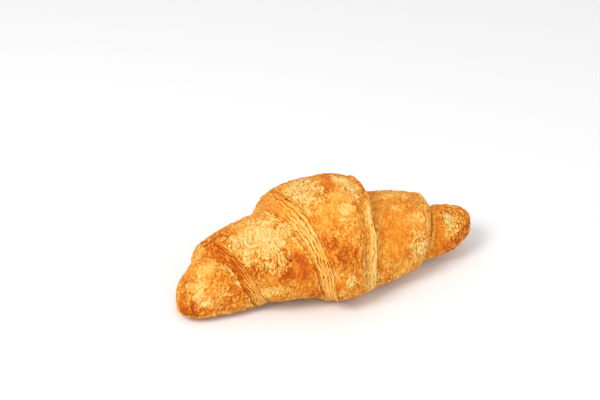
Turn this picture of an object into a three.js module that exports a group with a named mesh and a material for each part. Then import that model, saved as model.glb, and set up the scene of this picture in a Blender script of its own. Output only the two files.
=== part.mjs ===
// A plain butter croissant, rolled up from one long triangle of laminated dough and baked as one piece.
// Millimetres, +Z up. X runs from tip to tip, -Y is the roll's front, and the baked-flat base lies on z = 0
// with the origin at the middle of the base.
//
// The roll's outer turn makes the middle, the turn under it makes the two shoulders, and the innermost
// turn shows as the two tips. Where a turn ends, its cut edge steps down to the turn below: every edge
// has a lip, where the crust ends, and a foot, where the step meets the turn below.
import * as THREE from "three";
import { LoftGeometry } from "three/addons/geometries/LoftGeometry.js";

const LENGTH = 169; // from tip to tip
const HALF_LENGTH = LENGTH / 2;
const BOW = -2; // how far the tips bend forward of the middle

// The lines round the roll, from the left tip to the right one. at: X where the line crosses the top;
// lean: how far along X it has moved where it crosses the front; height: top of the roll there; side: half
// its width as a share of its height; lift: its base above the table.
const LEFT_TIP_FOOT = { at: -62.5, lean: 12, height: 27.5, side: 0.62, lift: 0.5 };
const LEFT_SHOULDER_LIP = { at: -58.5, lean: 12, height: 36, side: 0.6, lift: 4 };
const LEFT_SHOULDER_FOOT = { at: -28, lean: 9.5, height: 44, side: 0.68, lift: 4 };
const MIDDLE_LEFT_LIP = { at: -20.5, lean: 9.5, height: 53.5, side: 0.68, lift: 0 };
const MIDDLE_TOP = { at: 0, lean: 0, height: 58, side: 0.64, lift: 0 };
const MIDDLE_RIGHT_LIP = { at: 14.5, lean: -9, height: 54, side: 0.63, lift: 0 };
const RIGHT_SHOULDER_FOOT = { at: 22.5, lean: -9, height: 42, side: 0.71, lift: 0 };
const RIGHT_SHOULDER_LIP = { at: 54.5, lean: -11, height: 36, side: 0.67, lift: 1.5 };
const RIGHT_TIP_FOOT = { at: 61, lean: -11, height: 27, side: 0.64, lift: 3.5 };

// Every line winds round the roll in the same way, given here each 45 degrees from the middle of the base
// up the back, over the top, down the front and back under the base: how many times its lean it has moved.
const WINDING = [0.4, -0.6, -1, -0.55, 0, 0.5, 1, 1.45, 0.4];

// Stretches between those lines, with how far the crust swells out in the middle of each and how many
// rings of points it has.
const STRETCHES = [
  { from: LEFT_TIP_FOOT, to: LEFT_SHOULDER_LIP, swell: 1, rings: 3 },
  { from: LEFT_SHOULDER_LIP, to: LEFT_SHOULDER_FOOT, swell: 1.3, rings: 7 },
  { from: LEFT_SHOULDER_FOOT, to: MIDDLE_LEFT_LIP, swell: 1, rings: 3 },
  { from: MIDDLE_LEFT_LIP, to: MIDDLE_TOP, swell: 1.4, rings: 6 },
  { from: MIDDLE_TOP, to: MIDDLE_RIGHT_LIP, swell: 0.6, rings: 4 },
  { from: MIDDLE_RIGHT_LIP, to: RIGHT_SHOULDER_FOOT, swell: 3, rings: 4 },
  { from: RIGHT_SHOULDER_FOOT, to: RIGHT_SHOULDER_LIP, swell: 1.2, rings: 7 },
  { from: RIGHT_SHOULDER_LIP, to: RIGHT_TIP_FOOT, swell: 1, rings: 3 },
];

// The blunt ends. x: X of the end's middle; rise: its height as a share of the tip's; sideways: its Y;
// bluntness: a larger power fills the end out sooner; tilt: how far the end leans inward for each
// millimetre up, so that its lower edge stands out furthest.
const LEFT_END = { x: -HALF_LENGTH, rise: 0.18, sideways: -7.5, bluntness: 3, tilt: 0.36 };
const RIGHT_END = { x: HALF_LENGTH, rise: 0.7, sideways: 1, bluntness: 2.3, tilt: 0 };
const END_ROUNDNESS = 2.2; // 2 is a circle's, and more is squarer
const END_RINGS = 8;

const POINTS_AROUND = 40;
const BELLY = 0.4; // the roll is widest at this share of its height
const BASE_CORNER = 0.72; // power of the sine and cosine below the belly: under 1 squares the corner
const BASE_DEPTH = 1.05; // the lower half is drawn this much deeper, then cut flat where it sat on the tray

const CRUST = new THREE.MeshStandardMaterial({ color: 0xe89a45, roughness: 0.5, metalness: 0 });

// Angles go from the back (+Y) over the top and down the front to the base, so that each ring runs
// counterclockwise seen from the right tip.
const angles = Array.from({ length: POINTS_AROUND }, (_, k) => (2 * Math.PI * k) / POINTS_AROUND);

const windingCurve = new THREE.SplineCurve(WINDING.map((leans) => new THREE.Vector2(0, leans)));

function alongX(line, angle) {
  const fromBase = (angle / (2 * Math.PI) + 0.25) % 1;
  return line.at + line.lean * windingCurve.getPoint(fromBase).y;
}

// Y and Z of the roll's outline at an angle, for a roll of that height, half width and lift.
function outline(height, halfWidth, lift, angle) {
  const centre = lift + BELLY * (height - lift);
  const cos = Math.cos(angle);
  const sin = Math.sin(angle);
  if (sin >= 0) return [halfWidth * cos, centre + (height - centre) * sin];
  const y = halfWidth * Math.sign(cos) * Math.abs(cos) ** BASE_CORNER;
  const z = centre - BASE_DEPTH * (centre - lift) * Math.abs(sin) ** BASE_CORNER;
  return [y, Math.max(z, lift)];
}

function bowed(x, y, z) {
  return new THREE.Vector3(x, y + BOW * (x / HALF_LENGTH) ** 2, z);
}

// The ring of points a share of the way along a stretch.
function ringBetween({ from, to, swell }, share) {
  const { lerp } = THREE.MathUtils;
  const swollen = 4 * share * (1 - share) * swell;
  const height = lerp(from.height, to.height, share) + swollen;
  const halfWidth = lerp(from.height * from.side, to.height * to.side, share) + swollen;
  const lift = lerp(from.lift, to.lift, share);
  return angles.map((angle) => {
    const x = lerp(alongX(from, angle), alongX(to, angle), share);
    return bowed(x, ...outline(height, halfWidth, lift, angle));
  });
}

// The rings from an end to the tip's foot, closer together near the end.
function endRings(end, foot) {
  const centreZ = foot.lift + end.rise * (foot.height - foot.lift);
  return Array.from({ length: END_RINGS - 1 }, (_, k) => {
    const share = ((k + 1) / END_RINGS) ** 2;
    const grown = (1 - (1 - share) ** end.bluntness) ** (1 / END_ROUNDNESS);
    return angles.map((angle) => {
      const [y, z] = outline(foot.height, foot.height * foot.side, foot.lift, angle);
      const rise = grown * (z - centreZ);
      const x = THREE.MathUtils.lerp(end.x, alongX(foot, angle), share) + end.tilt * (1 - share) * rise;
      return bowed(x, end.sideways + grown * (y - end.sideways), centreZ + rise);
    });
  });
}

function stretchRings(stretch) {
  return Array.from({ length: stretch.rings }, (_, k) => ringBetween(stretch, k / stretch.rings));
}

const rings = [
  ...endRings(LEFT_END, LEFT_TIP_FOOT),
  ...STRETCHES.flatMap(stretchRings),
  ringBetween(STRETCHES.at(-1), 1),
  ...endRings(RIGHT_END, RIGHT_TIP_FOOT).reverse(),
];

const croissant = new THREE.Mesh(new LoftGeometry(rings, { capStart: true, capEnd: true }), CRUST);
croissant.name = "croissant";

const part = new THREE.Group();
part.add(croissant);

export default part;
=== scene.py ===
"""A butter croissant on a pale floor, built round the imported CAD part.

The crust is one closed mesh. It has the CAD part's turns, lips and feet, and on top of them what the CAD
leaves out: open laminated steps, blisters, wrinkles, flakes and grain. Lengths are millimetres until the
mesh is made. Angles round the roll run from the back (+Y) over the top (90 degrees) and down the front
(180) to the base (270).
"""
import math

import bpy
import numpy as np
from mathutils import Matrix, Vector, noise


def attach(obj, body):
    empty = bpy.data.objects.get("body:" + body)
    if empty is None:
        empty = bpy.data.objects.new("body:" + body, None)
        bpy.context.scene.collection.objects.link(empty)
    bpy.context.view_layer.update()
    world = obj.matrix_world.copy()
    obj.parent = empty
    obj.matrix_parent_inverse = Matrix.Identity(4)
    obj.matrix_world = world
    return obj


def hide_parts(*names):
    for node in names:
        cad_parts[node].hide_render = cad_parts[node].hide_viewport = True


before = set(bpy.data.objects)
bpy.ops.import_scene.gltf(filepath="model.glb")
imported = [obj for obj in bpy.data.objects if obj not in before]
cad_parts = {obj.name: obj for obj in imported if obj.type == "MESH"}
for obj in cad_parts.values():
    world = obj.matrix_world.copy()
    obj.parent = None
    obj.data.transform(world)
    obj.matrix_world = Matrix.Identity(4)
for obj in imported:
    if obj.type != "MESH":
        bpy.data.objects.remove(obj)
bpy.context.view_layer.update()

MM = 0.001
FAR = 99.0  # millimetres from a lip or a foot where none is near

# ---------------------------------------------------------------------------------------------------------
# The part's driving dimensions, as its CAD has them
# ---------------------------------------------------------------------------------------------------------
HALF_LENGTH = 84.5
BOW = -2.0  # how far the tips bend forward of the middle
BELLY = 0.4  # the roll is widest at this share of its height
BASE_CORNER = 0.72  # power of the sine and cosine below the belly: under 1 squares the corner
BASE_DEPTH = 1.05  # the lower half is drawn this much deeper, then cut flat
END_ROUNDNESS = 2.2  # 2 is a circle's, and more is squarer

# How many times its lean a line has moved, each 45 degrees from the base up the back and over the top.
WINDING = (0.4, -0.6, -1.0, -0.55, 0.0, 0.5, 1.0, 1.45)

# The lines round the roll. at: X where the line crosses the top; lean: how far along X it has moved where
# it crosses the front; height: top of the roll there; side: half its width as a share of its height; lift:
# its base above the table.
LEFT_TIP_FOOT = (-62.5, 12.0, 27.5, 0.62, 0.5)
LEFT_SHOULDER_LIP = (-58.5, 12.0, 36.0, 0.60, 4.0)
LEFT_SHOULDER_FOOT = (-28.0, 9.5, 44.0, 0.68, 4.0)
MIDDLE_LEFT_LIP = (-20.5, 9.5, 53.5, 0.68, 0.0)
MIDDLE_TOP = (0.0, 0.0, 58.0, 0.64, 0.0)
MIDDLE_RIGHT_LIP = (14.5, -9.0, 54.0, 0.63, 0.0)
RIGHT_SHOULDER_FOOT = (22.5, -9.0, 42.0, 0.71, 0.0)
RIGHT_SHOULDER_LIP = (54.5, -11.0, 36.0, 0.67, 1.5)
RIGHT_TIP_FOOT = (61.0, -11.0, 27.0, 0.64, 3.5)

# x: X of the end's middle; rise: its height as a share of the tip's; sideways: its Y; bluntness: a larger
# power fills the end out sooner; tilt: how far the end leans inward for each millimetre up.
LEFT_END = dict(x=-HALF_LENGTH, rise=0.18, sideways=-7.5, bluntness=3.0, tilt=0.36)
RIGHT_END = dict(x=HALF_LENGTH, rise=0.7, sideways=1.0, bluntness=2.3, tilt=0.0)

# ---------------------------------------------------------------------------------------------------------
# What the visual mesh adds
# ---------------------------------------------------------------------------------------------------------
AROUND = 500  # points round each ring
TYPICAL_RADIUS = 25.0  # for turning angles into lengths round the roll
angles = np.linspace(0, 2 * math.pi, AROUND, endpoint=False)[None, :]
degrees = np.degrees(angles)

# The steps, from the left tip to the right one.
TO_LEFT_TIP, TO_LEFT_SHOULDER, TO_RIGHT_SHOULDER, TO_RIGHT_TIP = 1, 2, 3, 4

# A step from its foot (0, 0) to its lip (1, 1): share of the way along X, share of the way up. The left
# steps are open, with a crevice at the foot. The one right of the middle bulges over and drops steeply, and
# the last one is gentler.
LEFT_STEP = [(0, 0), (0.08, -0.07), (0.19, 0.0), (0.40, 0.29), (0.63, 0.62), (0.84, 0.92), (1, 1)]
MIDDLE_RIGHT_STEP = [
    (0, 0), (0.05, -0.04), (0.09, 0.18), (0.17, 0.50), (0.30, 0.77), (0.5, 0.93), (0.75, 1.0), (1, 1),
]
FAR_RIGHT_STEP = [(0, 0), (0.08, -0.05), (0.18, 0.12), (0.38, 0.46), (0.60, 0.76), (0.80, 0.95), (1, 1)]


def rising(values, low, high):
    """0 below low, 1 above high and smooth between them."""
    t = np.clip((values - low) / (high - low), 0, 1)
    return t * t * (3 - 2 * t)


def turned(angle):
    """How far round each point lies from an angle, -180 to 180 degrees."""
    return (degrees - angle + 180) % 360 - 180


def down_front(low, high):
    """0 above an angle down the front, rising to 1 below it, and 0 again up the back."""
    return rising(degrees, low, high) * rising(345 - degrees, 0, 45)


def winding():
    """How many times its lean a line has moved along X at each angle, smooth through WINDING's values."""
    place = (angles / (2 * math.pi) + 0.25) % 1 * len(WINDING)
    first = np.floor(place).astype(int)
    t = place - first
    before, here, after, later = (np.take(WINDING, (first + k) % len(WINDING)) for k in (-1, 0, 1, 2))
    slope_here = (after - before) / 2
    slope_after = (later - here) / 2
    return (here * (2 * t ** 3 - 3 * t ** 2 + 1) + after * (3 * t ** 2 - 2 * t ** 3)
            + slope_here * (t ** 3 - 2 * t ** 2 + t) + slope_after * (t ** 3 - t ** 2))


def wobble(seed, size, waves):
    """An uneven wave round the roll, about `size` high, that meets itself."""
    random = np.random.default_rng(seed)
    total = np.zeros_like(angles)
    for wave in waves:
        curve = np.sin(wave * angles + random.uniform(0, 2 * math.pi))
        total += curve * random.uniform(0.5, 1) / wave ** 0.6
    return total * size


def outline(height, half_width, lift):
    """Y and Z of the roll's outline at each angle."""
    centre = lift + BELLY * (height - lift)
    cos, sin = np.cos(angles), np.sin(angles)
    upper = sin >= 0
    y = half_width * np.where(upper, cos, np.sign(cos) * np.abs(cos) ** BASE_CORNER)
    low = np.maximum(centre - BASE_DEPTH * (centre - lift) * np.abs(sin) ** BASE_CORNER, lift)
    return y, np.where(upper, centre + (height - centre) * sin, low)


class Line:
    """A lip or a foot round the roll, with its own small unevenness."""

    def __init__(self, numbers, kind, seed, uneven, bends=()):
        """bends: angle, half angle and how far along X the line is moved there."""
        at, lean, self.height, side, self.lift = numbers
        self.kind = kind
        self.half_width = self.height * side
        self.x = at + lean * winding() + wobble(seed, uneven, range(2, 9))
        for angle, half_angle, move in bends:
            self.x = self.x + move * rising(1 - np.abs(turned(angle)) / half_angle, 0, 1)
        self.y, self.z = outline(self.height, self.half_width, self.lift)


def mixed(a, b, share):
    return a + (b - a) * share


def smooth_path(points, count):
    """`count` points evenly spaced along a smooth curve through `points`, without the last of them."""
    p = np.array(points, float)
    p = np.vstack([2 * p[0] - p[1], p, 2 * p[-1] - p[-2]])
    fine = []
    for a, b, c, d in zip(p, p[1:], p[2:], p[3:]):
        t = np.linspace(0, 1, 40, endpoint=False)[:, None]
        fine.append(0.5 * (2 * b + (c - a) * t + (2 * a - 5 * b + 4 * c - d) * t ** 2
                           + (3 * b - a - 3 * c + d) * t ** 3))
    fine = np.vstack(fine + [p[-2:-1]])
    run = np.concatenate([[0], np.cumsum(np.hypot(*np.diff(fine, axis=0).T))])
    wanted = np.linspace(0, run[-1], count, endpoint=False)
    return np.interp(wanted, run, fine[:, 0]), np.interp(wanted, run, fine[:, 1])


class Grid:
    """The crust's points, a row for each ring from the left end to the right, and what is known of each."""

    def __init__(self):
        self.rows = []

    def add(self, x, y, z, face=0.0, depth=0.0, step=0, lip=FAR, foot=FAR):
        """face: 1 on a cut step; depth: share of the way from its foot to its lip; step: which step;
        lip, foot: millimetres from the nearest lip and foot, less than 0 on a step."""
        shape = np.broadcast(x, y, z).shape
        self.rows.append([np.broadcast_to(v, shape) for v in (x, y, z, face, depth, step, lip, foot)])

    def done(self):
        parts = [np.concatenate(v, axis=0) for v in zip(*self.rows)]
        self.place = np.stack(parts[:3], axis=-1)
        self.place[..., 1] += BOW * (self.place[..., 0] / HALF_LENGTH) ** 2
        self.face, self.depth, self.step, self.lip, self.foot = parts[3:]


def add_skin(grid, start, end, swell, count):
    """A stretch of crust from one line to the next."""
    share = np.linspace(0, 1, count, endpoint=False)[:, None]
    swollen = 4 * share * (1 - share) * swell
    y, z = outline(mixed(start.height, end.height, share) + swollen,
                   mixed(start.half_width, end.half_width, share) + swollen,
                   mixed(start.lift, end.lift, share))
    x = mixed(start.x, end.x, share)
    away = {start.kind: x - start.x}
    away[end.kind] = np.minimum(away.get(end.kind, FAR), end.x - x)
    grid.add(x, y, z, lip=away.get("lip", FAR), foot=away.get("foot", FAR))


def add_step(grid, foot, lip, profile, count, step):
    """The cut edge of a turn, between its foot and its lip."""
    leftward = foot.x.mean() > lip.x.mean()
    along, up = smooth_path(profile[::-1] if leftward else profile, count)
    along, up = along[:, None], up[:, None]
    face = np.clip(np.minimum((up + 0.05) / 0.12, (1.02 - up) / 0.08), 0, 1)
    depth = np.linspace(0, 1, count, endpoint=False)[:, None]
    depth = 1 - depth if leftward else depth
    run = math.hypot(lip.x.mean() - foot.x.mean(), lip.height - foot.height)
    grid.add(mixed(foot.x, lip.x, along), mixed(foot.y, lip.y, up), mixed(foot.z, lip.z, up),
             face=face, depth=depth, step=step, lip=(depth - 1) * run, foot=-depth * run)


def add_end(grid, end, foot, count):
    """The rings of a blunt end, between its tip and the line where the turn above it begins."""
    middle = foot.lift + end["rise"] * (foot.height - foot.lift)
    share = (np.linspace(0, 1, count + 1)[1:-1, None]) ** 1.6
    grown = (1 - (1 - share) ** end["bluntness"]) ** (1 / END_ROUNDNESS)
    if end is RIGHT_END:
        share, grown = share[::-1], grown[::-1]
    z = mixed(middle, foot.z, grown)
    x = mixed(end["x"], foot.x, share) + end["tilt"] * (1 - share) * (z - middle)
    grid.add(x, mixed(end["sideways"], foot.y, grown), z, foot=np.abs(foot.x - x))


def crust_grid():
    """The crust before any relief: two tips, two shoulders, the middle and the steps between them."""
    tip_foot = Line(LEFT_TIP_FOOT, "foot", 1, 0.4, [(115, 40, 1.2), (20, 70, 3.5)])
    shoulder_lip = Line(LEFT_SHOULDER_LIP, "lip", 2, 0.3, [(20, 60, 1.0), (54, 35, -1.8)])
    shoulder_foot = Line(LEFT_SHOULDER_FOOT, "foot", 3, 0.5, [(150, 60, 1.8), (20, 70, 3.5)])
    middle_lip = Line(MIDDLE_LEFT_LIP, "lip", 4, 0.3, [(20, 60, 1.0), (98, 30, 1.2)])
    top = Line(MIDDLE_TOP, "top", 5, 0)
    right_lip = Line(MIDDLE_RIGHT_LIP, "lip", 6, 0.3, [(210, 50, 5)])
    right_foot = Line(RIGHT_SHOULDER_FOOT, "foot", 7, 0.3, [(210, 50, 5)])
    far_lip = Line(RIGHT_SHOULDER_LIP, "lip", 8, 0.4)
    far_foot = Line(RIGHT_TIP_FOOT, "foot", 9, 0.4)
    grid = Grid()
    add_end(grid, LEFT_END, tip_foot, 76)
    add_step(grid, tip_foot, shoulder_lip, LEFT_STEP, 44, TO_LEFT_TIP)
    add_skin(grid, shoulder_lip, shoulder_foot, 1.3, 96)
    add_step(grid, shoulder_foot, middle_lip, LEFT_STEP, 50, TO_LEFT_SHOULDER)
    add_skin(grid, middle_lip, top, 1.4, 64)
    add_skin(grid, top, right_lip, 1.4, 46)
    add_step(grid, right_foot, right_lip, MIDDLE_RIGHT_STEP, 46, TO_RIGHT_SHOULDER)
    add_skin(grid, right_foot, far_lip, 1.2, 100)
    add_step(grid, far_foot, far_lip, FAR_RIGHT_STEP, 36, TO_RIGHT_TIP)
    add_end(grid, RIGHT_END, far_foot, 66)
    grid.done()
    return grid


def noise_at(places, size, octaves=2, seed=0, stretch=(1, 1, 1)):
    """Smooth noise, about -1 to 1, with features about `size` across."""
    p = (places * np.array(stretch) / size + seed * 17.31).reshape(-1, 3).tolist()
    values = [noise.fractal(q, 0.8, 2.1, octaves, noise_basis="PERLIN_NEW") for q in p]
    return np.array(values).reshape(places.shape[:-1])


def cells_at(places, size, seed):
    """Blisters about `size` apart. For each point, the height, 0 to 1, of the round dome it lies on, domes
    being of many sizes, and how far it is from the edge of its blister, 0 at the edge."""
    p = (places / size + seed * 11.7).reshape(-1, 3).tolist()
    domes = np.empty(len(p))
    edges = np.empty(len(p))
    for i, q in enumerate(p):
        distances, centres = noise.voronoi(q)
        c = centres[0]
        luck = (c[0] * 7.31 + c[1] * 5.17 + c[2] * 3.73) % 1
        domes[i] = max(0.0, 1 - (distances[0] / (0.22 + 0.42 * luck)) ** 2) * (0.35 + 0.65 * luck)
        edges[i] = distances[1] - distances[0]
    return domes.reshape(places.shape[:-1]), edges.reshape(places.shape[:-1])


def normals_of(places):
    """The outward normal at each point of the grid."""
    along = np.gradient(places, axis=0)
    round_it = np.roll(places, -1, axis=1) - np.roll(places, 1, axis=1)
    n = np.cross(along, round_it)
    n /= np.maximum(np.linalg.norm(n, axis=-1, keepdims=True), 1e-9)
    return n if (n * (places - places.mean(axis=1, keepdims=True))).sum() > 0 else -n


def push(places, amount):
    return places + normals_of(places) * amount[..., None]


# ---------------------------------------------------------------------------------------------------------
# Relief and baking
# ---------------------------------------------------------------------------------------------------------
# Where the oven browned the crust, or left it pale: X, angle, half length, half angle, amount.
SKIN_MARKS = [
    # the left tip
    (-77, 118, 7, 24, -0.30),
    (-69, 98, 6, 16, -0.18),
    (-85, 120, 7, 110, 0.50),
    (-78, 142, 3.5, 24, -0.12),
    (-60, 158, 5, 18, 0.25),
    (-74, 188, 13, 13, 0.28),
    (-66, 198, 7, 6, -0.20),
    # the left shoulder
    (-43, 107, 18, 25, -0.31),
    (-38, 84, 12, 16, -0.20),
    (-27, 152, 8, 16, 0.26),
    (-22, 172, 6, 26, 0.25),
    (-33, 163, 6, 8, 0.15),
    (-27, 137, 5, 10, 0.14),
    (-35, 137, 6, 8, 0.12),
    (-47, 146, 6, 12, 0.22),
    (-42, 182, 9, 9, -0.28),
    (-30, 200, 12, 6, 0.15),
    # the middle
    (3, 74, 3.4, 9, 0.30),
    (-1, 90, 3.4, 9, 0.30),
    (11, 88, 6, 16, -0.34),
    (-14, 84, 12, 22, -0.30),
    (0, 112, 12, 14, -0.04),
    (2, 120, 4.5, 4.5, -0.20),
    (8, 118, 2.5, 6, 0.25),
    (-4, 158, 7, 13, 0.24),
    (-11, 141, 4, 9, 0.22),
    (-7, 150, 10, 16, 0.10),
    (-4, 180, 3, 4, -0.40),
    (-9, 181, 4, 5, 0.20),
    (4, 190, 12, 14, -0.08),
    # the right shoulder
    (30, 120, 14, 50, 0.11),
    (46, 119, 7, 9, -0.16),
    (37, 104, 6, 6, -0.12),
    (30, 108, 10, 14, -0.10),
    (42, 157, 8, 22, -0.13),
    (26, 196, 9, 8, -0.10),
    # the right tip
    (61, 140, 4, 60, 0.10),
    (57, 136, 4, 60, 0.14),
    (67, 122, 4, 24, -0.14),
    (71, 178, 9, 30, 0.30),
    (78, 150, 5, 14, 0.20),
    (82, 140, 6, 70, 0.20),
]
# The same on the cut steps.
STEP_MARKS = [
    (-60, 100, 16, 58, 0.53),
    (-54, 150, 6, 14, 0.20),
    (-48, 172, 6, 16, 0.12),
    (-25, 60, 14, 45, 0.20),
    (-20, 120, 7, 22, -0.12),
    (16, 80, 9, 28, 0.26),
    # Lighter on the cut face right of the middle, which faces down and to the right: its own pale cream, and
    # painted light where the lamps leave it in shade.
    (10, 165, 9, 60, -0.50),
]
# Where the crust has broken up into blisters and flakes, or stayed smooth.
ROUGH_MARKS = [
    (-45, 110, 22, 40, 0.35),
    (-36, 138, 9, 13, 0.6),
    (-10, 80, 12, 30, 0.3),
    (12, 95, 8, 25, 0.2),
    (30, 130, 14, 50, -0.4),
    (2, 105, 6, 10, -0.5),
    (1, 82, 4.5, 16, -0.8),
    (2, 120, 5, 5, -0.5),
    (-9, 181, 4, 6, -0.7),
    (-24, 158, 6, 22, -0.5),
    (61, 140, 4, 70, -0.7),
    (42, 157, 9, 22, 0.6),
    (66, 125, 5, 25, 0.4),
    (70, 130, 10, 60, 0.4),
    (-66, 170, 8, 20, 0.2),
    (-72, 108, 9, 22, -0.3),
    (-79, 160, 7, 40, 0.4),
    (-2, 120, 14, 20, -0.35),
]
# Where thin flakes of crust have lifted, and how many.
FLAKE_MARKS = [
    (-37, 138, 9, 15, 0.9),
    (-75, 158, 5, 12, 0.8),
    (-62, 150, 5, 14, 0.6),
    (-45, 112, 16, 24, 0.25),
    (11, 92, 6, 18, 0.7),
    (3, 119, 5, 6, 0.55),
    (6, 176, 6, 12, 0.5),
    (42, 158, 8, 22, 0.9),
    (47, 118, 6, 14, 0.5),
    (67, 130, 7, 30, 0.75),
]
# Where the roll stands out further than its lines make it, or less far, in millimetres.
SWELLINGS = [
    (-83, 335, 8, 50, 1.1),
    (0, 120, 12, 30, 0.5),
    (-4, 222, 7, 20, -1.3),
]
# Creases standing up from the crust: X and angle of one end and of the other, half width, height.
CREASES = [
    # round the end of the left tip, and back from it
    (-80, 84, -81, 118, 0.45, 0.4),
    (-81, 118, -82, 164, 0.45, 0.45),
    (-79, 132, -72, 128, 0.8, 0.45),
    (-82, 112, -79, 124, 0.4, 0.4),
    (-80, 104, -76, 116, 0.4, 0.4),
    # along the top of the right shoulder
    (27, 86, 40, 81, 0.7, 0.3),
    (30, 80, 44, 75, 0.5, 0.25),
    # short wrinkles on the middle
    (-2, 116, 4, 115, 0.3, 0.3),
    (0, 120, 7, 119, 0.3, 0.35),
    (-1, 124, 4, 125, 0.3, 0.3),
    (-5, 127, 2, 129, 0.3, 0.4),
    (3, 129, 8, 127, 0.3, 0.4),
    (-2, 132, 5, 134, 0.3, 0.4),
    (-4, 138, 2, 136, 0.3, 0.4),
    (4, 80, 10, 86, 0.5, 0.45),
    (6, 76, 13, 82, 0.5, 0.45),
]
# Of each step: how many sheets its edge shows, and from which angle down the front they show clearly.
SHEETS = {
    TO_LEFT_TIP: (5, 145),
    TO_LEFT_SHOULDER: (5.5, 95),
    TO_RIGHT_SHOULDER: (3, 85),
    TO_RIGHT_TIP: (2.5, 60),
}


def marks(places, patches, rough):
    """How strongly each point lies in the patches, whose outlines are broken up by the noise `rough`."""
    total = np.zeros(places.shape[:-1])
    for x, angle, half_length, half_angle, amount in patches:
        away = ((places[..., 0] - x) / half_length) ** 2
        away = away + (turned(angle) / half_angle) ** 2
        total += amount * rising(-np.sqrt(away) + 0.45 * rough, -1.25, -0.55)
    return total


def creases(places):
    """How high the creases stand at each point."""
    x = places[..., 0] + 1.2 * noise_at(places, 4, 2, 30)
    sideways = 1.5 * noise_at(places, 3.2, 2, 33)
    total = np.zeros_like(x)
    for x0, angle0, x1, angle1, half_width, height in CREASES:
        dx, dy = x1 - x0, math.radians(angle1 - angle0) * TYPICAL_RADIUS
        y = np.radians(degrees - angle0) * TYPICAL_RADIUS + sideways
        t = np.clip(((x - x0) * dx + y * dy) / (dx * dx + dy * dy), 0, 1)
        away = np.hypot(x - x0 - t * dx, y - t * dy)
        total += height * rising(1 - away / (2 * half_width), 0, 1)
    return total


def sheets(grid):
    """The cut steps: how far each point stands out on the edges of the dough's sheets, and how deep it lies
    in the gaps between them."""
    place = grid.place
    on_steps = [grid.step == step for step in SHEETS]
    count = np.select(on_steps, [number for number, _ in SHEETS.values()], 1.0)
    clear_from = np.select(on_steps, [angle for _, angle in SHEETS.values()], 1.0)

    # A gap lies wherever the phase is a whole number, and the noise makes the sheets wander and merge.
    phase = grid.depth * count + 0.72 * noise_at(place, 14, 2, 5) + 0.38 * noise_at(place, 4, 2, 6)
    ridge = np.abs(np.sin(math.pi * phase)) ** 0.7
    shown = np.maximum(down_front(clear_from - 15, clear_from + 20), rising(grid.depth, 0.55, 0.75))
    shown = shown * (0.2 + 0.8 * rising(noise_at(place, 4, 2, 7), -0.25, 0.2))
    shown = shown * np.where(grid.step == TO_LEFT_SHOULDER, 1 - 0.8 * down_front(182, 196), 1)

    # Pits come in rows along the gaps, each gap with its own noise.
    radius = np.full_like(phase, TYPICAL_RADIUS / 2)
    along = np.stack([radius * np.cos(angles), radius * np.sin(angles), np.floor(phase) * 7.7], axis=-1)
    uneven = noise_at(along, 3, 1, 9)
    pits = rising(noise_at(along, 1, 2, 8), 0.24, 0.42) * rising(1 - ridge, 0.2, 0.55)
    pits = pits * shown * np.where(grid.step >= TO_RIGHT_SHOULDER, 0.3, 1)

    stand = grid.face * ((ridge - 0.65) * (0.16 + 0.60 * shown) * (1 + 0.8 * uneven) - pits)
    # How deep each point lies in a gap or pit, used only for the painted shade there.
    gap = grid.face * np.clip((0.75 + 0.5 * uneven) * (1 - ridge) * shown + 1.3 * pits, 0, 1.6)
    return stand, gap


def edge_lines(grid):
    """The lips and feet. How far each point stands out, how much of the ragged pale rim just past a foot it
    has, and how much painted shade it gets in the fine sunken lines along a lip and in the crevice at a
    foot."""
    place = grid.place
    x = place[..., 0]
    left = (x < 0) * 1.0
    far_right = (x > 40) * 1.0
    drift = noise_at(place, 7, 2, 20)

    broken = rising(noise_at(place, 5, 2, 21), -0.4, 0.05)
    line = np.exp(-((grid.lip + 0.1 - 0.3 * drift) / 0.35) ** 2)
    line += 0.7 * np.exp(-((grid.lip - 1.3 - 0.6 * drift) / 0.28) ** 2) * broken
    line *= 0.7 + 0.3 * left - 0.3 * far_right

    wide = 1.1 + 0.9 * rising(degrees, 95, 110) * rising(155 - degrees, 0, 15)
    rim = rising(wide + 1.5 * drift - grid.foot, 0, 0.8) * rising(grid.foot, 0, 0.3)
    rim = rim * (0.5 + 0.5 * left + 0.4 * far_right)
    rim = rim * rising(noise_at(place, 1.8, 2, 22), -0.25, 0.1)

    crevice = np.exp(-((grid.foot + 0.35 - 0.3 * drift) / 0.45) ** 2)
    crevice = crevice * (0.5 + 0.5 * down_front(45, 80)) * (0.3 + 0.7 * left - 0.2 * far_right)
    crevice = crevice * (0.4 + 0.6 * rising(noise_at(place, 8, 2, 23), -0.3, 0.3))
    closed = left * (x > -45) * rising(degrees, 55, 80) * rising(148 - degrees, 0, 18)
    crevice = crevice * (1 - 0.75 * closed)
    return 0.35 * rim - 0.25 * line - 0.35 * crevice, rim, line, crevice


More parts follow.
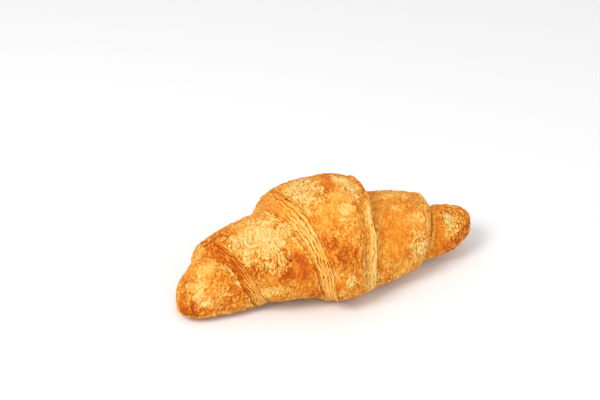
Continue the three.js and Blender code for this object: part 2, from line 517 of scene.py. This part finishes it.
class Crust:
    """The crust's own features at each point: noise of five sizes, and features mostly from 0 to 1."""

    def __init__(self, place):
        self.coarse = noise_at(place, 24, 2, 1)
        self.middling = noise_at(place, 9, 3, 2)
        self.grainy = noise_at(place, 3.2, 2, 4)
        self.fine = noise_at(place, 1.5, 2, 3)
        self.ragged = noise_at(place, 7, 3, 13)
        uneven = 0.5 + 0.4 * noise_at(place, 16, 2, 9) + marks(place, ROUGH_MARKS, self.ragged)
        self.uneven = np.clip(uneven, 0, 1)

        bent = place + 1.6 * noise_at(place, 6, 2, 31)[..., None]
        self.blisters = cells_at(place, 5.2, 1)[0] * rising(self.uneven, 0.4, 0.9)
        self.beads, edges = cells_at(bent * (1.5, 1, 1), 2.1, 2)
        self.crackle = rising(edges, 0.0, 0.28) - 0.75
        flecks = noise_at(place, 2.2, 2, 10, stretch=(0.7, 1, 1))
        self.flecks = rising(flecks, 0.12, 0.26) * rising(self.uneven, 0.3, 0.8)
        self.pores = rising(noise_at(place, 1.6, 2, 24), 0.24, 0.38) * self.uneven
        self.ripple = noise_at(bent, 3.6, 2, 12, stretch=(2.4, 1, 1))
        self.valley = rising(1 - np.abs(self.ripple) / 0.13, 0, 1)
        self.crease = creases(place)
        flakes = noise_at(bent, 2.0, 2, 32, stretch=(1.5, 1, 1))
        flakes = flakes + 0.8 * np.clip(marks(place, FLAKE_MARKS, self.ragged), 0, 1)
        self.flakes = rising(flakes, 0.50, 0.70)

    def height(self):
        """How far the features stand out from the roll, in millimetres."""
        small = (0.1 + 0.9 * self.uneven) * (0.35 * self.beads + 0.20 * self.crackle)
        wrinkles = (0.4 + 0.6 * self.uneven) * (0.42 * self.ripple - 0.22 * self.valley)
        return (0.45 * self.blisters + small + 0.18 * self.flecks - 0.20 * self.pores + wrinkles
                + 0.35 * self.flakes + self.crease - 0.10)

    def bake(self, place):
        """How brown the crust is, from 0, pale, to 1, dark. What stands out comes out lighter and what lies
        low darker: partly the crust's own lighter tops, partly painted highlight on them and painted shade
        in the hollows.
        """
        mottle = 0.12 * self.coarse + 0.18 * self.middling + 0.12 * self.grainy
        mottle = mottle * (0.35 + 0.65 * rising(self.uneven, 0.1, 0.5))
        small = (0.10 + 0.40 * rising(self.uneven, 0.55, 1)) * self.beads + 0.15 * self.crackle * self.uneven
        wrinkles = (0.4 + 0.5 * self.uneven) * (0.18 * self.ripple - 0.25 * self.valley + 0.07)
        # Blisters, beads, flecks, creases and flakes lighter, and wrinkle valleys, pores and cracks darker:
        # painted highlight and shade on the relief, together with the crust's own lighter tops.
        relief_tone_and_painted_light = (0.30 * self.blisters + small + 0.10 * self.flecks - 0.15 * self.pores + wrinkles
                 + 0.9 * self.crease + 0.30 * self.flakes)
        return 0.50 + mottle + marks(place, SKIN_MARKS, self.ragged) - relief_tone_and_painted_light


def step_bubbles(grid, crust):
    """Bubbles in the cut faces, where their sheets don't show."""
    over_the_top = rising(125 - degrees, 0, 25) * rising(degrees, 0, 30)
    where = np.where(grid.step == TO_LEFT_TIP, over_the_top, 0)
    where = np.where(grid.step == TO_LEFT_SHOULDER, down_front(178, 192), where)
    return crust.beads * grid.face * where


def relief(grid):
    """The finished points of the crust, and what its material needs to know of each."""
    place, face = grid.place, grid.face
    crust = Crust(place)
    stand, gap = sheets(grid)
    edges, rim, line, crevice = edge_lines(grid)
    bubbles = step_bubbles(grid, crust)
    clear = rising(place[..., 2], 0.2, 3.0)  # 0 where the crust lay flat on the tray

    broad = 0.7 * crust.coarse + 0.4 * crust.middling - 0.25
    points = push(place, marks(place, SWELLINGS, 0) + broad * clear)
    detail = (1 - face) * crust.height() + stand + edges + 0.45 * bubbles
    detail = detail + 0.12 * crust.fine + 0.12 * crust.grainy
    points = push(points, detail * (0.25 + 0.75 * clear))
    points[..., 2] = np.maximum(points[..., 2], 0)

    # On the cut faces, what stands out (the sheets' edges, the bubbles) is lighter and the pits darker:
    # painted highlight and shade following the relief.
    inside = 0.38 + 0.12 * crust.middling + 0.12 * crust.grainy - stand - 0.5 * bubbles
    inside += marks(place, STEP_MARKS, crust.ragged)
    bake = mixed(crust.bake(place), inside, face) + 0.15 * (1 - clear) - 0.55 * rim
    # Painted shade: the gaps between sheets, the crevice at each foot and the lines along the lips are
    # coloured darker, as shade falls there.
    groove_shade = np.clip(0.7 * gap + 0.8 * crevice + 0.7 * line, 0, 1.2)
    return points, {"bake": bake, "cut": face, "groove_shade": groove_shade, "uneven": crust.uneven}


def grid_mesh(name, points, known):
    """A closed mesh from rings of points, with a point at the middle of each end."""
    rows, columns = points.shape[:2]
    ends = [points[0].mean(axis=0), points[-1].mean(axis=0)]
    vertices = np.vstack([points.reshape(-1, 3), ends]) * MM
    index = np.arange(rows * columns).reshape(rows, columns)
    beside = np.roll(index, -1, axis=1)
    quads = np.stack([index[:-1], beside[:-1], beside[1:], index[1:]], axis=-1).reshape(-1, 4)
    left, right = rows * columns, rows * columns + 1
    first = np.stack([beside[0], index[0], np.full(columns, left)], axis=-1)
    last = np.stack([index[-1], beside[-1], np.full(columns, right)], axis=-1)
    fans = np.vstack([first, last])
    corners = np.concatenate([quads.ravel(), fans.ravel()])
    starts = np.concatenate([np.arange(len(quads)) * 4, len(quads) * 4 + np.arange(len(fans)) * 3])

    mesh = bpy.data.meshes.new(name)
    mesh.vertices.add(len(vertices))
    mesh.vertices.foreach_set("co", vertices.ravel())
    mesh.loops.add(len(corners))
    mesh.loops.foreach_set("vertex_index", corners.astype(np.int32))
    mesh.polygons.add(len(starts))
    mesh.polygons.foreach_set("loop_start", starts.astype(np.int32))
    mesh.update(calc_edges=True)
    mesh.shade_smooth()

    for label, values in known.items():
        attribute = mesh.attributes.new(label, "FLOAT", "POINT")
        at_ends = [values[0].mean(), values[-1].mean()]
        attribute.data.foreach_set("value", np.concatenate([values.ravel(), at_ends]).astype(np.float32))

    add_bake_map(mesh, points, quads, fans)
    mesh.validate()
    return mesh


def add_bake_map(mesh, points, quads, fans):
    """A map for baking: U goes from end to end by length, and V once round each ring."""
    rows, columns = points.shape[:2]
    run = np.linalg.norm(np.diff(points, axis=0), axis=-1).mean(axis=1)
    run = np.concatenate([[0], np.cumsum(run)])
    across = 0.01 + 0.98 * run / run[-1]
    corners = np.concatenate([quads.ravel(), fans.ravel()])
    u = np.append(np.repeat(across, columns), [0, 1])[corners]
    v = np.append(np.tile(np.arange(columns) / columns, rows), [0, 0])[corners]

    # The face that closes a ring ends at 1 and not back at 0.
    quad_v = v[:quads.size].reshape(-1, 4)
    quad_v[quads[:, 1] < quads[:, 0], 1:3] = 1
    fan_v = v[quads.size:].reshape(-1, 3)
    closing = np.abs(fans[:, 0] - fans[:, 1]) > 1
    fan_v[:columns][closing[:columns], 0] = 1
    fan_v[columns:][closing[columns:], 1] = 1
    fan_v[:, 2] = fan_v[:, :2].mean(axis=1)
    uv = mesh.uv_layers.new(name="OFBake")
    uv.data.foreach_set("uv", np.stack([u, v], axis=-1).astype(np.float32).ravel())


# ---------------------------------------------------------------------------------------------------------
# Materials
# ---------------------------------------------------------------------------------------------------------
class Nodes:
    """Short ways to add and join a material's nodes."""

    def __init__(self, material):
        material.use_nodes = True
        self.tree = material.node_tree
        self.shader = self.tree.nodes["Principled BSDF"]

    def add(self, kind, values=None, **settings):
        node = self.tree.nodes.new("ShaderNode" + kind)
        for name, value in settings.items():
            setattr(node, name, value)
        for name, value in (values or {}).items():
            if isinstance(value, bpy.types.NodeSocket):
                self.tree.links.new(value, node.inputs[name])
            else:
                node.inputs[name].default_value = value
        return node

    def math(self, operation, a, b=0.0, clamp=False):
        return self.add("Math", {0: a, 1: b}, operation=operation, use_clamp=clamp).outputs[0]

    def plus(self, a, b):
        return self.math("ADD", a, b)

    def minus(self, a, b):
        return self.math("SUBTRACT", a, b)

    def times(self, a, b):
        return self.math("MULTIPLY", a, b)

    def attribute(self, name):
        return self.add("Attribute", attribute_name=name).outputs["Fac"]

    def noise(self, where, scale, detail=2.0, rough=0.5):
        values = {"Vector": where, "Scale": scale, "Detail": detail, "Roughness": rough}
        return self.add("TexNoise", values).outputs["Fac"]

    def ramp(self, factor, stops):
        node = self.add("ValToRGB", {"Fac": factor})
        elements = node.color_ramp.elements
        while len(elements) < len(stops):
            elements.new(0.5)
        for element, (place, colour) in zip(elements, stops):
            element.position = place
            element.color = (*colour, 1)
        return node.outputs["Color"]

    def mix(self, factor, a, b):
        node = self.add("Mix", data_type="RGBA")
        for name, value in (("Factor", factor), ("A", a), ("B", b)):
            socket = node.inputs[name]
            if isinstance(value, bpy.types.NodeSocket):
                self.tree.links.new(value, socket)
            else:
                socket.default_value = value
        return next(s for s in node.outputs if s.type == "RGBA")

    def join(self, value, name):
        self.tree.links.new(value, self.shader.inputs[name])


def linear(red, green, blue):
    """A colour as it is seen, 0 to 255, as the light it gives back."""
    return tuple(c / 255 / 12.92 if c <= 10 else ((c / 255 + 0.055) / 1.055) ** 2.4
                 for c in (red, green, blue))


# The crust's outside and its cut faces, from pale to dark, and the painted shade at the bottom of a groove:
# the gaps between sheets, the crevices at the feet and the lines along the lips.
SKIN_COLOURS = [
    (0.0, linear(255, 214, 132)),
    (0.25, linear(251, 190, 96)),
    (0.5, linear(237, 154, 50)),
    (0.75, linear(219, 121, 30)),
    (1.0, linear(184, 82, 20)),
]
CUT_COLOURS = [
    (0.0, linear(255, 208, 118)),
    (0.4, linear(247, 176, 74)),
    (0.7, linear(228, 132, 28)),
    (1.0, linear(190, 80, 14)),
]
GROOVE_SHADE_COLOUR = linear(172, 78, 16)


def crust_material():
    material = bpy.data.materials.new("baked_crust")
    n = Nodes(material)
    where = n.add("TexCoord").outputs["Object"]
    uneven = n.attribute("uneven")
    cut = n.attribute("cut")

    # Features a millimetre or so across: speckles, blotches, beads and veins. The veins run round the roll.
    # The beads come out lighter at their middles and darker at their edges, and the veins are dark lines in
    # the bump's folds: painted highlight and shade on that fine relief, added to the crust's own grain.
    speckle = n.noise(where, 1300, 3.0, 0.65)
    blotch = n.noise(where, 190, 2.0, 0.55)
    cells = n.add("TexVoronoi", {"Vector": where, "Scale": 800.0}).outputs["Distance"]
    bead = n.times(n.minus(cells, 0.42), n.times(uneven, 0.28))
    round_it = n.add("Mapping", {"Vector": where, "Scale": (1.0, 0.45, 0.45)}).outputs["Vector"]
    fold = n.math("ABSOLUTE", n.minus(n.noise(round_it, 600, 2.0, 0.5), 0.5))
    vein = n.math("SUBTRACT", 1.0, n.times(fold, 10.0), clamp=True)
    vein = n.times(n.minus(vein, 0.32), n.plus(n.times(uneven, 0.36), 0.15))

    # They add to the bake, less so on the cut faces.
    grain_and_painted_shade = n.times(n.minus(speckle, 0.5), n.plus(n.times(uneven, 0.15), 0.6))
    grain_and_painted_shade = n.plus(n.plus(n.plus(grain_and_painted_shade, bead), vein), n.times(n.minus(blotch, 0.5), 0.4))
    grain_and_painted_shade = n.times(grain_and_painted_shade, n.minus(1.0, n.times(cut, 0.7)))
    bake = n.math("ADD", n.attribute("bake"), grain_and_painted_shade, clamp=True)

    colour = n.mix(cut, n.ramp(bake, SKIN_COLOURS), n.ramp(bake, CUT_COLOURS))
    # Painted shade in the grooves where the gaps, crevices and lip lines lie, with less reflection there
    # too.
    groove_shade = n.math("MULTIPLY", n.attribute("groove_shade"), 0.8, clamp=True)
    n.join(n.mix(groove_shade, colour, (*GROOVE_SHADE_COLOUR, 1)), "Base Color")

    n.join(n.plus(n.times(speckle, 0.35), 0.34), "Roughness")
    n.join(n.times(n.minus(1.0, groove_shade), 0.11), "Specular IOR Level")
    n.shader.inputs["IOR"].default_value = 1.42

    height = n.plus(n.times(n.noise(where, 1300, 3.0, 0.6), 0.5), speckle)
    height = n.minus(height, n.times(cells, uneven))
    height = n.minus(height, n.times(vein, 1.6))
    bump = n.add("Bump", {"Height": height, "Strength": 1.0, "Distance": 0.0006})
    n.join(bump.outputs["Normal"], "Normal")
    return material


def make_crust():
    points, known = relief(crust_grid())
    crust = bpy.data.objects.new("crust", grid_mesh("crust", points, known))
    bpy.context.scene.collection.objects.link(crust)
    crust.data.materials.append(crust_material())
    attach(crust, "root")
    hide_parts("croissant")


# ---------------------------------------------------------------------------------------------------------
# Stage
# ---------------------------------------------------------------------------------------------------------
FLOOR_REACH = 6.0  # metres from the croissant to the floor's edges

# name, the way to it from the croissant, how far, how wide, watts
LAMPS = [
    ("key", (-0.75, -0.35, 0.9), 1.1, 0.45, 8.2),
    ("fill", (0.7, -0.8, 0.45), 1.3, 1.0, 4.8),
]
LAMPS_AIM = Vector((0, 0, 0.03))
WORLD_LIGHT = 0.80

# The camera looks from the front, turned to the left and raised, in degrees, and so far away in metres.
CAMERA_TURN = -23.9
CAMERA_RISE = 34.0
CAMERA_DISTANCE = 0.636
CAMERA_LENS = 72
CAMERA_MIDDLE = Vector((0, 0, 0.025))  # the place it is so far from
AIM_LEFT = 0.015  # how far left of that place it aims, and how far above it, as the camera sees them
AIM_UP = 0.0199


def make_floor():
    mesh = bpy.data.meshes.new("floor")
    square = [(-FLOOR_REACH, -FLOOR_REACH, 0), (FLOOR_REACH, -FLOOR_REACH, 0),
              (FLOOR_REACH, FLOOR_REACH, 0), (-FLOOR_REACH, FLOOR_REACH, 0)]
    mesh.from_pydata(square, [], [(0, 1, 2, 3)])
    floor = bpy.data.objects.new("floor", mesh)
    bpy.context.scene.collection.objects.link(floor)
    material = bpy.data.materials.new("floor_paper")
    n = Nodes(material)
    n.shader.inputs["Base Color"].default_value = (0.80, 0.80, 0.80, 1)
    n.shader.inputs["Roughness"].default_value = 1.0
    n.shader.inputs["Specular IOR Level"].default_value = 0.0
    mesh.materials.append(material)


def aim(thing, target):
    """Turn a lamp or camera to look at a place."""
    thing.rotation_mode = "QUATERNION"
    thing.rotation_quaternion = (target - thing.location).to_track_quat("-Z", "Y")


def make_lights():
    scene = bpy.context.scene
    scene.world = bpy.data.worlds.new("studio")
    scene.world.use_nodes = True
    background = scene.world.node_tree.nodes["Background"]
    background.inputs["Color"].default_value = (1, 1, 1, 1)
    background.inputs["Strength"].default_value = WORLD_LIGHT
    for name, direction, distance, size, power in LAMPS:
        light = bpy.data.lights.new(name, "AREA")
        light.size = size
        light.energy = power
        lamp = bpy.data.objects.new(name, light)
        scene.collection.objects.link(lamp)
        lamp.location = LAMPS_AIM + Vector(direction).normalized() * distance
        aim(lamp, LAMPS_AIM)


def make_camera():
    turn, rise = math.radians(CAMERA_TURN), math.radians(CAMERA_RISE)
    back = Vector((math.sin(turn) * math.cos(rise), -math.cos(turn) * math.cos(rise), math.sin(rise)))
    right = Vector((math.cos(turn), math.sin(turn), 0))
    up = back.cross(right)
    data = bpy.data.cameras.new("camera")
    data.lens = CAMERA_LENS
    data.sensor_width = 36
    camera = bpy.data.objects.new("camera", data)
    bpy.context.scene.collection.objects.link(camera)
    camera.location = CAMERA_MIDDLE + back * CAMERA_DISTANCE
    aim(camera, CAMERA_MIDDLE - right * AIM_LEFT + up * AIM_UP)
    bpy.context.scene.camera = camera


bpy.context.scene.view_settings.view_transform = "Standard"
make_crust()
make_floor()
make_lights()
make_camera()
